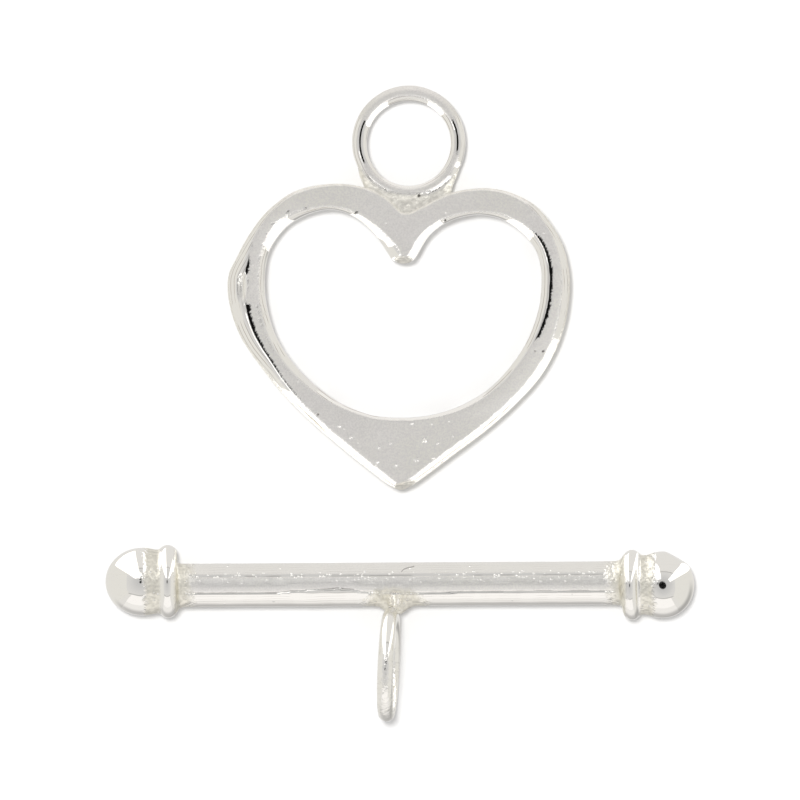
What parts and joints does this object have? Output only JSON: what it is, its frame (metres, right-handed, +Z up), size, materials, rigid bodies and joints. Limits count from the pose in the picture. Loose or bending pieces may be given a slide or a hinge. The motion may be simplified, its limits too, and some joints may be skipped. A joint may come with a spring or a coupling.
{
  "type": "heart toggle clasp",
  "caption": "Two-part toggle clasp: an open heart with a hanging loop on top, and a bar with collared ball ends and an edge-on loop, which passes through the heart and holds across it.",
  "frame": {"origin": "middle of the footprint of both halves as they lie, on the surface they lie on", "axes": "+Z up from the surface towards the faces, +Y from the bar to the heart and its loop, +X along the bar to the right"},
  "size_m": [0.024, 0.026, 0.0046],
  "materials": {
    "heart_silver": "cast silver, satin face, polished edges, frosted solder",
    "bar_silver": "polished silver, lightly worn, frosted solder at the joints"
  },
  "bodies": {
    "heart_half": {"heart_ring": "heart_silver"},
    "bar_half": {"toggle_bar": "bar_silver"}
  },
  "joints": [
    {"name": "bar_lift", "type": "slide", "parent": "heart_half", "child": "bar_half", "axis": [0, 0, 1], "range_m": [0, 0.02]}
  ]
}
